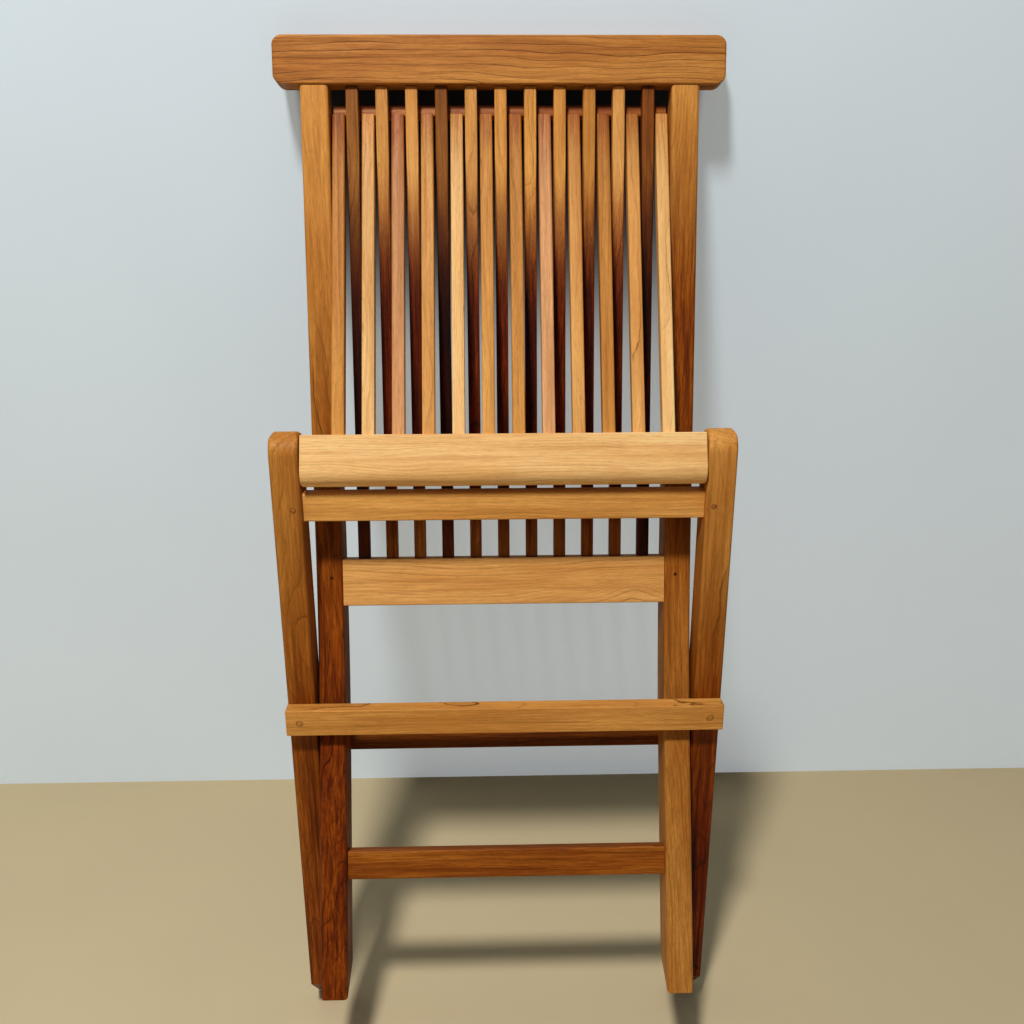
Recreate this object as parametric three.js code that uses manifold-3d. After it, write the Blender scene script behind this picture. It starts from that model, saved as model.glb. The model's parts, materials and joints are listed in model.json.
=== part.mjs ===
// Folding teak side chair, folded flat as it leans against a wall.
// Millimetres. X is to the right, Y goes back, Z is up.
// The origin is at the bottom centre of the folded chair's box.
//
// The chair has three frames. The back frame runs from the crest rail down to
// the front feet. The leg frame crosses outside it, from the seat's front edge
// down to the rear feet. The seat is hinged at the top of the leg frame, and its
// slats pass between the slats of the back, so the rear rail slides behind them.

import * as THREE from 'three';
import { mergeVertices } from 'three/addons/utils/BufferGeometryUtils.js';
import Module from 'manifold-3d';

const wasm = await Module();
wasm.setup();

// Clearances
const glueGap = 0.3; // between wooden pieces that meet
const boreGap = 0.3; // round a peg or bolt, on the radius
const cutOverrun = 4; // how far a drill passes a surface

// Angles in degrees
const legRake = 21.73; // lower part of the stiles, from upright, folded
const backRake = 12.5; // upper part of the stiles, from upright, folded
const legFrameRake = 2.09; // leg frame, from upright, folded
const openAngle = 60; // turn of the leg frame from folded to open

// Widths across the chair
const stileInside = 341.4; // between the stiles
const stileThick = 28;
const sideGap = 2.2; // between a stile and the leg beside it
const legThick = 29;
const seatSideGap = 1.5; // between the seat's front rail and a leg

// Back frame
const pivotHeight = 360; // fold pivot above the rear feet
const pivotToToe = 269.4; // along the stile's front, pivot to front foot
const stilePivotDepth = 25.5; // pivot behind the stile's front face
const lowerLength = 264; // straight lower part of the stile
const bendLength = 225; // bent part, along the front face
const upperLength = 458.5; // straight upper part, to the crest rail
const stileDepth = 46;
const stileTopDepth = 25;
const stileTaperStart = 300; // along the stile, where it starts to get thinner
const stileEdge = 3.5; // rounded long edges

const crestLength = 449;
const crestHeight = 46.5;
const crestThick = 26;
const crestProud = 2; // front of the stiles to the front of the crest
const crestCorner = 10;
const crestEdge = 4;

const slatPitch = 29.6; // back slats and seat slats alike
const backSlatWide = 12.2;
const backSlatDeep = 12;
const backSlatSetback = 4;
const slatEdge = 1.2;
const slatCorner = 2.6;

const lowerRailTop = 469.8; // along the stile
const lowerRailHeight = 50;
const lowerRailThick = 18;
const lowerRailSetback = 1;
const railCorner = 2.5;

const stretcherFoot = 125.2; // along the stile, to its lower edge
const stretcherHeight = 30.1;
const stretcherThick = 16;
const stretcherSetback = 8;

const braceDrop = 13.4; // its lower edge below the fold pivot
const braceHeight = 34;
const braceThick = 16;
const braceInset = 9; // short of the stile's outer face

// Leg frame
const legDepth = 40;
const legPivotDepth = 18.5; // fold pivot behind the leg's front face
const legTopRise = 18.1; // leg's half-round top above the seat pivot
const legEdge = 3.5;

const topRailGap = 3.8; // below the seat's front rail
const topRailHeight = 29;
const topRailThick = 16;
const topRailSetback = 8;

const frontRailGap = 1.9; // its lower edge in front of the stiles
const frontRailHeight = 29.5;
const frontRailThick = 16.5;
const frontRailCorner = 4;

// Seat
const seatPivotReach = 329.3; // along the leg, fold pivot to seat pivot
const seatPivotDepth = 20.5; // seat pivot behind the leg's front face
const rearRailDrop = 21.5; // rear rail's middle below the stile's top, folded
const rearRailBehind = 12; // rear rail's middle behind the back slats, folded
const rearRailWide = 12;
const rearRailLow = -4;
const rearRailHigh = 7;
const rearRailGap = 2; // to each stile
const seatNose = 37; // front edge ahead of the seat pivot
const seatRailBack = 12; // front rail's rear edge behind the seat pivot
const seatRailHigh = 18;
const seatRailLow = -11.5;
const seatNoseRadius = 14;
const seatNoseUnder = 8;
const slatSideGap = 2.4; // between a seat slat and the back slat beside it
const slatEndGap = 1; // least gap between an outer seat slat and a stile
const seatSlatHigh = 13;
const seatSlatLow = -1;

// Pegs and bolts
const boltRadius = 4;
const boltHeadRadius = 8;
const boltHeadThick = 3;
const boltHeadSunk = 0.5;
const legBoltGrip = 20; // into the stile
const seatBoltGrip = 22; // into the seat's front rail
const washerRadius = 9;
const washerGap = 0.3; // on each side of a washer
const plugRadius = 3.5; // plugs in the leg frame's front rail
const plugLength = 32;
const legPegRadius = 2.5; // pegs at the leg frame's top rail
const legPegInset = 8; // from the leg's inner face
const legPegLength = 26;
const backPegRadius = 1.5; // pegs at the lower back rail
const backPegInset = 11.6; // from the stile's inner face
const backPegRise = 5.5; // above the rail's middle
const backPegLength = 30;
const pegSunk = 0.2;

// Mesh fineness
const bendSteps = 9;
const roundSteps = 4;
const legTopSteps = 14;
const boltSides = 28;
const pegSides = 18;

// Wood tones seen in the photograph, from pale sapwood to dark heartwood
const tones = {
  pale: 0xd9a566,
  honey: 0xc68a48,
  golden: 0xb9772f,
  pink: 0xb87a4c,
  brown: 0x94571f,
  dark: 0x6f3f1a,
};
const backTones = [
  'brown', 'honey', 'honey', 'brown', 'honey', 'golden',
  'golden', 'golden', 'golden', 'honey', 'brown',
];
const seatTones = [
  'golden', 'pale', 'pink', 'honey', 'pale', 'golden',
  'golden', 'pink', 'honey', 'golden', 'honey', 'pale',
];

const woodMaterials = {};
for (const [tone, color] of Object.entries(tones)) {
  woodMaterials[tone] = new THREE.MeshStandardMaterial({ color, roughness: 0.55, metalness: 0 });
}
const brass = new THREE.MeshStandardMaterial({ color: 0xb08d4a, roughness: 0.35, metalness: 1 });
const steel = new THREE.MeshStandardMaterial({ color: 0x9a9a98, roughness: 0.4, metalness: 1 });

const chair = new THREE.Group();

// Side view: every outline is drawn as (back, up) and then swept across X

const radians = THREE.MathUtils.degToRad;
const alongOf = (rake) => new THREE.Vector2(Math.sin(rake), Math.cos(rake));
const backOf = (rake) => new THREE.Vector2(Math.cos(rake), -Math.sin(rake));
const step = (from, direction, length) => from.clone().addScaledVector(direction, length);

const foldPivot = new THREE.Vector2(0, pivotHeight);

// Front face of the stiles: straight leg, an even bend, straight back
const toe = step(
  step(foldPivot, backOf(radians(legRake)), -stilePivotDepth),
  alongOf(radians(legRake)),
  -pivotToToe,
);
const stileLength = lowerLength + bendLength + upperLength;
const bendTurn = radians(legRake - backRake);
const bendRadius = bendLength / bendTurn;

function stileRake(along) {
  const share = THREE.MathUtils.clamp((along - lowerLength) / bendLength, 0, 1);
  return radians(legRake) - share * bendTurn;
}

// A point of the back frame, by its length up the front face and depth behind it
function backPoint(along, depth) {
  const start = radians(legRake);
  const rake = stileRake(along);
  const point = step(toe, alongOf(start), Math.min(along, lowerLength));
  if (along > lowerLength) {
    const centre = step(point, backOf(start), -bendRadius);
    point.copy(step(centre, backOf(rake), bendRadius));
    point.addScaledVector(alongOf(rake), Math.max(along - lowerLength - bendLength, 0));
  }
  return point.addScaledVector(backOf(rake), depth);
}

// A point of the leg frame, by its length up from the fold pivot and depth
function legPoint(along, depth) {
  const rake = radians(legFrameRake);
  return step(foldPivot, alongOf(rake), along).addScaledVector(backOf(rake), depth - legPivotDepth);
}

const seatPivot = legPoint(seatPivotReach, seatPivotDepth);
const rearRailDepth = backSlatSetback + backSlatDeep + rearRailBehind;
const rearRailCentre = backPoint(stileLength - rearRailDrop, rearRailDepth);
const seatRake = Math.atan2(rearRailCentre.x - seatPivot.x, rearRailCentre.y - seatPivot.y);
const seatLength = rearRailCentre.distanceTo(seatPivot);

// A point of the seat, by its length back from the seat pivot and its height
function seatPoint(along, height) {
  return step(seatPivot, alongOf(seatRake), along).addScaledVector(backOf(seatRake), -height);
}

// Seat slats fill the space that the back slats leave, with one more of them
const seatSlatWide = slatPitch - backSlatWide - 2 * slatSideGap;
const seatSlatCount = 1 + Math.floor((stileInside - 2 * slatEndGap - seatSlatWide) / slatPitch);
const backSlatCount = seatSlatCount - 1;

// Leg frame's rails: one clears the stiles that cross behind it, the other
// clears the lower corner of the seat's nose
const legTopReach = seatPivotReach + legTopRise;
const crossing = radians(legRake - legFrameRake);
const frontRailFoot = (stilePivotDepth / Math.cos(crossing) - legPivotDepth - glueGap + frontRailGap)
  / Math.tan(crossing);
const seatToLeg = seatRake - radians(legFrameRake);
const noseDrop = seatNose * Math.cos(seatToLeg) - seatRailLow * Math.sin(seatToLeg);
const topRailFoot = seatPivotReach - noseDrop - topRailGap - topRailHeight;

// Rear foot: the leg's back edge touches the floor, and the sole is cut level
// with the floor of the open chair
const rearToeDrop = (pivotHeight - (legDepth - legPivotDepth) * Math.sin(radians(legFrameRake)))
  / Math.cos(radians(legFrameRake));
const rearToe = legPoint(-rearToeDrop, legDepth);
const openRearToe = rearToe.clone().rotateAround(foldPivot, radians(openAngle));
const openFloor = openRearToe.clone().sub(toe).normalize();
const openFloorOnLeg = openFloor.clone().rotateAround(new THREE.Vector2(), -radians(openAngle));

// Solids

// Maps an outline drawn as (back, up) and swept along X into the chair's frame
const sideToChair = new THREE.Matrix4().makeBasis(
  new THREE.Vector3(0, 1, 0),
  new THREE.Vector3(0, 0, 1),
  new THREE.Vector3(1, 0, 0),
);

// An outline with each corner rounded by its own radius
function roundedShape(corners, radii) {
  const shape = new THREE.Shape();
  corners.forEach((corner, index) => {
    const before = corners[(index + corners.length - 1) % corners.length];
    const after = corners[(index + 1) % corners.length];
    const radius = radii[index];
    const entry = step(corner, before.clone().sub(corner).normalize(), radius);
    const exit = step(corner, after.clone().sub(corner).normalize(), radius);
    if (index === 0) shape.moveTo(entry.x, entry.y);
    else shape.lineTo(entry.x, entry.y);
    if (radius > 0) shape.quadraticCurveTo(corner.x, corner.y, exit.x, exit.y);
  });
  shape.closePath();
  return shape;
}

// A solid swept from left to right, with its two side faces' edges eased
function swept(shape, left, right, edge) {
  const geometry = new THREE.ExtrudeGeometry(shape, {
    depth: right - left - 2 * edge,
    steps: 1,
    curveSegments: roundSteps,
    bevelEnabled: edge > 0,
    bevelThickness: edge,
    bevelSize: edge,
    bevelOffset: -edge,
    bevelSegments: 2,
  });
  geometry.translate(0, 0, left + edge);
  return geometry.applyMatrix4(sideToChair);
}

// A four-cornered bar seen from the side, given by a frame's point function
function barShape(point, low, high, front, back, radius) {
  const corners = [point(low, front), point(low, back), point(high, back), point(high, front)];
  return roundedShape(corners, corners.map(() => radius));
}

function toManifold(geometry) {
  const bare = geometry.clone();
  bare.deleteAttribute('normal');
  bare.deleteAttribute('uv');
  const merged = mergeVertices(bare);
  return new wasm.Manifold(new wasm.Mesh({
    numProp: 3,
    vertProperties: new Float32Array(merged.attributes.position.array),
    triVerts: new Uint32Array(merged.index.array),
  }));
}

// The geometry with every tool geometry cut out of it
function drilled(geometry, tools) {
  let solid = toManifold(geometry);
  for (const tool of tools) solid = solid.subtract(toManifold(tool));
  const mesh = solid.getMesh();
  const result = new THREE.BufferGeometry();
  result.setAttribute('position', new THREE.BufferAttribute(new Float32Array(mesh.vertProperties), 3));
  result.setIndex(new THREE.BufferAttribute(new Uint32Array(mesh.triVerts), 1));
  const flat = result.toNonIndexed();
  flat.computeVertexNormals();
  return flat;
}

// A round rod across X, with its ends at two places
function rodAcross(centre, from, to, radius, sides) {
  const geometry = new THREE.CylinderGeometry(radius, radius, Math.abs(to - from), sides);
  geometry.rotateZ(Math.PI / 2);
  return geometry.translate((from + to) / 2, centre.x, centre.y);
}

// A round rod that lies in the side view, from one point to another, at one X
function rodInside(x, from, to, radius, sides) {
  const length = from.distanceTo(to);
  const geometry = new THREE.CylinderGeometry(radius, radius, length, sides);
  geometry.rotateX(Math.atan2(to.y - from.y, to.x - from.x));
  const middle = from.clone().add(to).multiplyScalar(1 / 2);
  return geometry.translate(x, middle.x, middle.y);
}

// A turned piece round an X axis: each profile point is (radius, distance out)
function turned(profile, centre, outX, side) {
  const points = profile.map(([radius, out]) => new THREE.Vector2(radius, out));
  const geometry = new THREE.LatheGeometry(points, boltSides);
  geometry.rotateZ(-side * Math.PI / 2);
  return geometry.translate(side * outX, centre.x, centre.y);
}

function addPiece(name, geometry, material) {
  const mesh = new THREE.Mesh(geometry, material);
  mesh.name = name;
  chair.add(mesh);
}

const sides = [['left', -1], ['right', 1]];
const spanOf = (side, inner, outer) => (side < 0 ? [-outer, -inner] : [inner, outer]);

// Places across the chair
const stileInner = stileInside / 2;
const stileOuter = stileInner + stileThick;
const legInner = stileOuter + sideGap;
const legOuter = legInner + legThick;
const legMiddle = legInner + legThick / 2;
const seatRailHalf = legInner - seatSideGap;

// Back frame

function stileDepthAt(along) {
  const share = THREE.MathUtils.clamp((along - stileTaperStart) / (stileLength - stileTaperStart), 0, 1);
  return THREE.MathUtils.lerp(stileDepth, stileTopDepth, share);
}

// Places from low to high along the stile, with a step at each facet of the bend
function placesAlong(low, high) {
  const bend = Array.from({ length: bendSteps + 1 }, (_, index) => lowerLength + bendLength * index / bendSteps);
  return [low, ...bend.filter((along) => along > low && along < high), high];
}

function stileShape() {
  const top = stileLength - glueGap;
  const places = placesAlong(0, top);
  const legSide = backOf(radians(legRake));
  const legUp = alongOf(radians(legRake));
  const heel = stileDepth * openFloor.dot(legUp) / openFloor.dot(legSide);
  const back = [heel, ...places.slice(1)].map((along) => backPoint(along, stileDepthAt(along)));
  const front = places.map((along) => backPoint(along, 0));
  return new THREE.Shape([...back, ...front.reverse()]);
}

const lowerRailMiddle = lowerRailTop - lowerRailHeight / 2;

function backPegBore(side, radius, overrun) {
  const x = side * (stileInner + backPegInset);
  const along = lowerRailMiddle + backPegRise;
  const start = backPoint(along, pegSunk - overrun);
  const end = backPoint(along, backPegLength + (overrun > 0 ? boreGap : 0));
  return rodInside(x, start, end, radius, pegSides);
}

function addStiles() {
  const shape = stileShape();
  for (const [label, side] of sides) {
    const [left, right] = spanOf(side, stileInner, stileOuter);
    const pivotBore = rodAcross(
      foldPivot,
      side * (stileOuter - legBoltGrip - boreGap),
      side * (stileOuter + cutOverrun),
      boltRadius + boreGap,
      boltSides,
    );
    const pegBore = backPegBore(side, backPegRadius + boreGap, cutOverrun);
    const geometry = drilled(swept(shape, left, right, stileEdge), [pivotBore, pegBore]);
    addPiece(`stile_${label}`, geometry, woodMaterials.golden);
    addPiece(`back_peg_${label}`, backPegBore(side, backPegRadius, 0), woodMaterials.dark);
  }
}

// The crest rail is drawn face on, as (right, up), and swept back through its thickness
function addCrestRail() {
  const half = crestLength / 2;
  const corners = [
    new THREE.Vector2(-half, 0),
    new THREE.Vector2(half, 0),
    new THREE.Vector2(half, crestHeight),
    new THREE.Vector2(-half, crestHeight),
  ];
  const shape = roundedShape(corners, corners.map(() => crestCorner));
  const geometry = new THREE.ExtrudeGeometry(shape, {
    depth: crestThick - 2 * crestEdge,
    steps: 1,
    curveSegments: roundSteps,
    bevelThickness: crestEdge,
    bevelSize: crestEdge,
    bevelOffset: -crestEdge,
    bevelSegments: 2,
  });
  const foot = backPoint(stileLength, -crestProud);
  geometry.translate(0, 0, crestEdge - crestThick);
  geometry.rotateX(Math.PI / 2 - radians(backRake));
  geometry.translate(0, foot.x, foot.y);
  addPiece('crest_rail', geometry, woodMaterials.honey);
}

function addBackSlats() {
  const places = placesAlong(lowerRailTop + glueGap, stileLength - glueGap);
  const front = places.map((along) => backPoint(along, backSlatSetback));
  const back = places.map((along) => backPoint(along, backSlatSetback + backSlatDeep));
  const shape = new THREE.Shape([...back, ...front.reverse()]);
  for (let index = 0; index < backSlatCount; index += 1) {
    const x = (index - (backSlatCount - 1) / 2) * slatPitch;
    const geometry = swept(shape, x - backSlatWide / 2, x + backSlatWide / 2, slatEdge);
    const name = `back_slat_${String(index + 1).padStart(2, '0')}`;
    addPiece(name, geometry, woodMaterials[backTones[index % backTones.length]]);
  }
}

// The rail that carries the back slats is straight, square to the stile at its middle
function lowerRailPoint(along, depth) {
  const rake = stileRake(lowerRailMiddle);
  return step(backPoint(lowerRailMiddle, depth), alongOf(rake), along - lowerRailMiddle);
}

function addBackRails() {
  const lowerBack = lowerRailSetback + lowerRailThick;
  const lowerFoot = lowerRailTop - lowerRailHeight;
  const lower = barShape(lowerRailPoint, lowerFoot, lowerRailTop, lowerRailSetback, lowerBack, railCorner);
  addPiece('lower_back_rail', swept(lower, -stileInner, stileInner, 0), woodMaterials.honey);

  const stretcherBack = stretcherSetback + stretcherThick;
  const stretcherTop = stretcherFoot + stretcherHeight;
  const stretcher = barShape(backPoint, stretcherFoot, stretcherTop, stretcherSetback, stretcherBack, railCorner);
  addPiece('front_stretcher', swept(stretcher, -stileInner, stileInner, 0), woodMaterials.golden);

  const braceFoot = pivotToToe - braceDrop;
  const braceFront = stileDepth + glueGap;
  const brace = barShape(
    backPointOnLeg,
    braceFoot,
    braceFoot + braceHeight,
    braceFront,
    braceFront + braceThick,
    railCorner,
  );
  const braceHalf = stileOuter - braceInset;
  addPiece('rear_brace', swept(brace, -braceHalf, braceHalf, slatEdge), woodMaterials.brown);
}

// The same frame, carried straight on above the leg's straight part
function backPointOnLeg(along, depth) {
  const rake = radians(legRake);
  return step(toe, alongOf(rake), along).addScaledVector(backOf(rake), depth);
}

// Leg frame

function legShape() {
  const slope = openFloorOnLeg.dot(alongOf(radians(legFrameRake)));
  const reach = openFloorOnLeg.dot(backOf(radians(legFrameRake)));
  const frontFoot = -rearToeDrop - legDepth * slope / reach;
  const radius = legDepth / 2;
  const halfRound = Array.from({ length: legTopSteps + 1 }, (_, index) => {
    const turn = Math.PI * index / legTopSteps;
    return legPoint(legTopReach - radius + radius * Math.sin(turn), radius + radius * Math.cos(turn));
  });
  return new THREE.Shape([legPoint(frontFoot, 0), rearToe, ...halfRound]);
}

const frontRailMiddle = frontRailFoot + frontRailHeight / 2;
const topRailMiddle = topRailFoot + topRailHeight / 2;
const frontRailFace = -glueGap - frontRailThick;

function plugRod(side, radius, overrun) {
  const start = legPoint(frontRailMiddle, frontRailFace + pegSunk - overrun);
  const end = legPoint(frontRailMiddle, frontRailFace + plugLength + (overrun > 0 ? boreGap : 0));
  return rodInside(side * legMiddle, start, end, radius, pegSides);
}

function legPegRod(side, radius, overrun) {
  const start = legPoint(topRailMiddle, pegSunk - overrun);
  const end = legPoint(topRailMiddle, legPegLength + (overrun > 0 ? boreGap : 0));
  return rodInside(side * (legInner + legPegInset), start, end, radius, pegSides);
}

// A bolt hole through a leg, with a recess for the head on the outside
function boltBores(centre, side) {
  const recess = legOuter - boltHeadThick - boltHeadSunk - glueGap;
  return [
    rodAcross(centre, side * (legInner - cutOverrun), side * (legOuter + cutOverrun), boltRadius + boreGap, boltSides),
    rodAcross(centre, side * recess, side * (legOuter + cutOverrun), boltHeadRadius + boreGap, boltSides),
  ];
}

function addLegs() {
  const shape = legShape();
  for (const [label, side] of sides) {
    const [left, right] = spanOf(side, legInner, legOuter);
    const tools = [
      ...boltBores(foldPivot, side),
      ...boltBores(seatPivot, side),
      plugRod(side, plugRadius + boreGap, cutOverrun),
      legPegRod(side, legPegRadius + boreGap, cutOverrun),
    ];
    addPiece(`leg_${label}`, drilled(swept(shape, left, right, legEdge), tools), woodMaterials.golden);
    addPiece(`leg_peg_${label}`, legPegRod(side, legPegRadius, 0), woodMaterials.pink);
    addPiece(`rail_plug_${label}`, plugRod(side, plugRadius, 0), woodMaterials.honey);
  }
}

function addLegRails() {
  const topBack = topRailSetback + topRailThick;
  const topEnd = topRailFoot + topRailHeight;
  const topRail = barShape(legPoint, topRailFoot, topEnd, topRailSetback, topBack, railCorner);
  addPiece('leg_top_rail', swept(topRail, -legInner, legInner, 0), woodMaterials.golden);

  const frontTop = frontRailFoot + frontRailHeight;
  const corners = [
    legPoint(frontRailFoot, frontRailFace),
    legPoint(frontRailFoot, -glueGap),
    legPoint(frontTop, -glueGap),
    legPoint(frontTop, frontRailFace),
  ];
  const shape = roundedShape(corners, [railCorner, 0, 0, frontRailCorner]);
  const bores = sides.map(([, side]) => plugRod(side, plugRadius + boreGap, cutOverrun));
  const geometry = drilled(swept(shape, -legOuter, legOuter, slatEdge), bores);
  addPiece('leg_front_rail', geometry, woodMaterials.golden);
}

// Seat

function addSeatFrontRail() {
  const corners = [
    seatPoint(-seatNose, seatRailHigh),
    seatPoint(-seatNose, seatRailLow),
    seatPoint(seatRailBack, seatRailLow),
    seatPoint(seatRailBack, seatRailHigh),
  ];
  const shape = roundedShape(corners, [seatNoseRadius, seatNoseUnder, railCorner, railCorner]);
  const bores = sides.map(([, side]) => rodAcross(
    seatPivot,
    side * (seatRailHalf - seatBoltGrip - boreGap),
    side * (seatRailHalf + cutOverrun),
    boltRadius + boreGap,
    boltSides,
  ));
  const geometry = drilled(swept(shape, -seatRailHalf, seatRailHalf, slatEdge), bores);
  addPiece('seat_front_rail', geometry, woodMaterials.pale);
}

function addSeatRearRail() {
  const start = seatLength - rearRailWide / 2;
  const end = seatLength + rearRailWide / 2;
  const shape = barShape(seatPoint, start, end, rearRailLow, rearRailHigh, slatCorner);
  const half = stileInner - rearRailGap;
  addPiece('seat_rear_rail', swept(shape, -half, half, slatEdge), woodMaterials.honey);
}

function addSeatSlats() {
  const start = seatRailBack + glueGap;
  const end = seatLength - rearRailWide / 2 - glueGap;
  const shape = barShape(seatPoint, start, end, seatSlatLow, seatSlatHigh, slatCorner);
  for (let index = 0; index < seatSlatCount; index += 1) {
    const x = (index - (seatSlatCount - 1) / 2) * slatPitch;
    const geometry = swept(shape, x - seatSlatWide / 2, x + seatSlatWide / 2, slatEdge);
    const name = `seat_slat_${String(index + 1).padStart(2, '0')}`;
    addPiece(name, geometry, woodMaterials[seatTones[index % seatTones.length]]);
  }
}

// Bolts and washers

function boltProfile(grip) {
  const shank = boltHeadThick + grip;
  return [[0, -shank], [boltRadius, -shank], [boltRadius, -boltHeadThick],
    [boltHeadRadius, -boltHeadThick], [boltHeadRadius, -boltHeadThick / 2],
    [boltHeadRadius / 2, 0], [0, 0]];
}

function washerProfile(thick) {
  const hole = boltRadius + boreGap;
  return [[hole, 0], [washerRadius, 0], [washerRadius, thick], [hole, thick], [hole, 0]];
}

function addPivot(name, centre, gap, innerFace, grip) {
  const headFace = legOuter - boltHeadSunk;
  const underHead = headFace - boltHeadThick;
  for (const [label, side] of sides) {
    const bolt = turned(boltProfile(underHead - innerFace + grip), centre, headFace, side);
    addPiece(`${name}_bolt_${label}`, bolt, brass);
    const washer = turned(washerProfile(gap - 2 * washerGap), centre, innerFace + washerGap, side);
    addPiece(`${name}_washer_${label}`, washer, steel);
  }
}

addCrestRail();
addStiles();
addBackSlats();
addBackRails();
addLegs();
addLegRails();
addSeatFrontRail();
addSeatSlats();
addSeatRearRail();
addPivot('fold', foldPivot, sideGap, stileOuter, legBoltGrip);
addPivot('seat', seatPivot, seatSideGap, seatRailHalf, seatBoltGrip);

// Centre the folded chair's box over the origin
const box = new THREE.Box3().setFromObject(chair);
chair.position.y = -(box.min.y + box.max.y) / 2;
chair.updateMatrixWorld(true);

export default chair;
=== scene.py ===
# %% [markdown]
# # A folding teak chair, folded and leaning back
#
# The real chair is joined from planed teak boards: two bent stiles and a crest rail
# with eleven upright slats between them, a pair of outer legs that cross the stiles on
# brass bolts, and a slatted seat that folds up flat between the slats of the back.
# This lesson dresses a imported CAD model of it. The CAD model says where every board is
# and how the three frames move, so nothing here is fitted by eye: each board is made
# again from the same driving dimensions, with the rounded edges, the grain and the
# fasteners that a plain solid lacks.

import json
from math import cos, pi, radians, sin

import bpy
import numpy as np
from mathutils import Matrix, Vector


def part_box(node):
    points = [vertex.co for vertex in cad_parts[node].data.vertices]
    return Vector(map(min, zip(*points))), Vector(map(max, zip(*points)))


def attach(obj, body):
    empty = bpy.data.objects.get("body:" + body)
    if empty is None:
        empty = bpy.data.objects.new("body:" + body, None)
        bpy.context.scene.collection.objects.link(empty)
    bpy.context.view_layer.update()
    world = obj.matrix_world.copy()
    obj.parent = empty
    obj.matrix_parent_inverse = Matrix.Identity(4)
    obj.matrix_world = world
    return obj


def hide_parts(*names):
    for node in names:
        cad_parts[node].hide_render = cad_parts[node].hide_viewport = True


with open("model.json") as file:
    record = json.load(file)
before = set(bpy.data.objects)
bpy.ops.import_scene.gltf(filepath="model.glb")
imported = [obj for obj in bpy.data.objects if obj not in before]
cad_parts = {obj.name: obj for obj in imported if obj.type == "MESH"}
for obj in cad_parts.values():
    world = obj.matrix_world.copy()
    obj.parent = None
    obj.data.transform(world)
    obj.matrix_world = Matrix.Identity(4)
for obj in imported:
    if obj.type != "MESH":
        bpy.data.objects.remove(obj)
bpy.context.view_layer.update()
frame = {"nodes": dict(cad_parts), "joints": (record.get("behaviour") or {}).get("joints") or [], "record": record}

# %% [markdown]
# ## The chair's measures
#
# Blender works in metres, a chair maker in millimetres, so the sizes are written in
# millimetres times one small unit. X runs across the chair, Y towards the back and Z up.
# Every board is set out in one of three side views, one for each frame that moves.

# %% Widths, clearances and angles
mm = 0.001
glue_gap = 0.3 * mm
leg_rake, back_rake, leg_frame_rake = np.radians([21.73, 12.5, 2.09])
open_angle = radians(60)

stile_inner = 341.4 / 2 * mm
stile_thick = 28 * mm
side_gap = 2.2 * mm
leg_thick = 29 * mm
seat_side_gap = 1.5 * mm
stile_outer = stile_inner + stile_thick
leg_inner = stile_outer + side_gap
leg_outer = leg_inner + leg_thick
leg_middle = (leg_inner + leg_outer) / 2
seat_rail_half = leg_inner - seat_side_gap
sides = (("left", -1), ("right", 1))
print("legs are", round(2 * leg_outer / mm, 1), "mm apart over all")

# %% [markdown]
# ## Three side views
#
# A point of a frame is given by its length along the frame and its depth behind the
# front face. The back frame's stile is straight, then bends evenly, then is straight
# again, so its side view is a line, an arc and a line. The other two are straight.
# Each function takes whole arrays and returns (back, up) pairs.

# %% Directions in the side view
pivots = {joint["name"]: np.array(joint["pos_m"][1:]) for joint in frame["joints"]}
fold_pivot, seat_pivot = pivots["leg_fold"], pivots["seat_fold"]


def along_of(rake):
    """The unit vector up a board that leans back by an angle: (sine, cosine)."""
    return np.stack([np.sin(rake), np.cos(rake)], axis=-1)


def back_of(rake):
    """The unit vector out of the board's back, square to the one above."""
    return np.stack([np.cos(rake), -np.sin(rake)], axis=-1)


# %% The back frame
pivot_to_toe = 269.4 * mm
stile_pivot_depth = 25.5 * mm
lower_length = 264 * mm
bend_length = 225 * mm
upper_length = 458.5 * mm
stile_length = lower_length + bend_length + upper_length
bend_turn = leg_rake - back_rake
bend_radius = bend_length / bend_turn
toe = fold_pivot - stile_pivot_depth * back_of(leg_rake) - pivot_to_toe * along_of(leg_rake)
bend_start = toe + lower_length * along_of(leg_rake)


def back_point(along, deep):
    """Line, arc, line: the arc's points are its centre plus the radius times the
    backward direction, which turns evenly with the length along the bend."""
    along, deep = np.broadcast_arrays(along, deep)
    rake = leg_rake - np.clip((along - lower_length) / bend_length, 0, 1) * bend_turn
    below = np.minimum(along - lower_length, 0)[..., None] * along_of(leg_rake)
    arc = bend_radius * (back_of(rake) - back_of(leg_rake))
    above = np.maximum(along - lower_length - bend_length, 0)[..., None] * along_of(rake)
    return bend_start + below + arc + above + deep[..., None] * back_of(rake)


def straight_point(origin, rake, along, deep):
    """A straight frame: origin, plus the length up it, plus the depth behind it."""
    along, deep = np.broadcast_arrays(along, deep)
    return origin + along[..., None] * along_of(rake) + deep[..., None] * back_of(rake)


# %% The leg frame and the seat
leg_pivot_depth = 18.5 * mm
seat_pivot_reach = 329.3 * mm
slat_setback = 4 * mm
slat_deep = 12 * mm
rear_rail_drop = 21.5 * mm
rear_rail_behind = 12 * mm

leg_origin = fold_pivot - leg_pivot_depth * back_of(leg_frame_rake)
rear_rail_centre = back_point(stile_length - rear_rail_drop, slat_setback + slat_deep + rear_rail_behind)
seat_reach = rear_rail_centre - seat_pivot
seat_length = np.hypot(*seat_reach)
seat_rake = np.arctan2(*seat_reach)


def with_x(x, side_view):
    """Puts (back, up) pairs at their places across the chair."""
    return np.concatenate([np.broadcast_to(x, side_view.shape[:-1])[..., None], side_view], axis=-1)


def in_back(x, along, deep):
    return with_x(x, back_point(along, deep))


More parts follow.
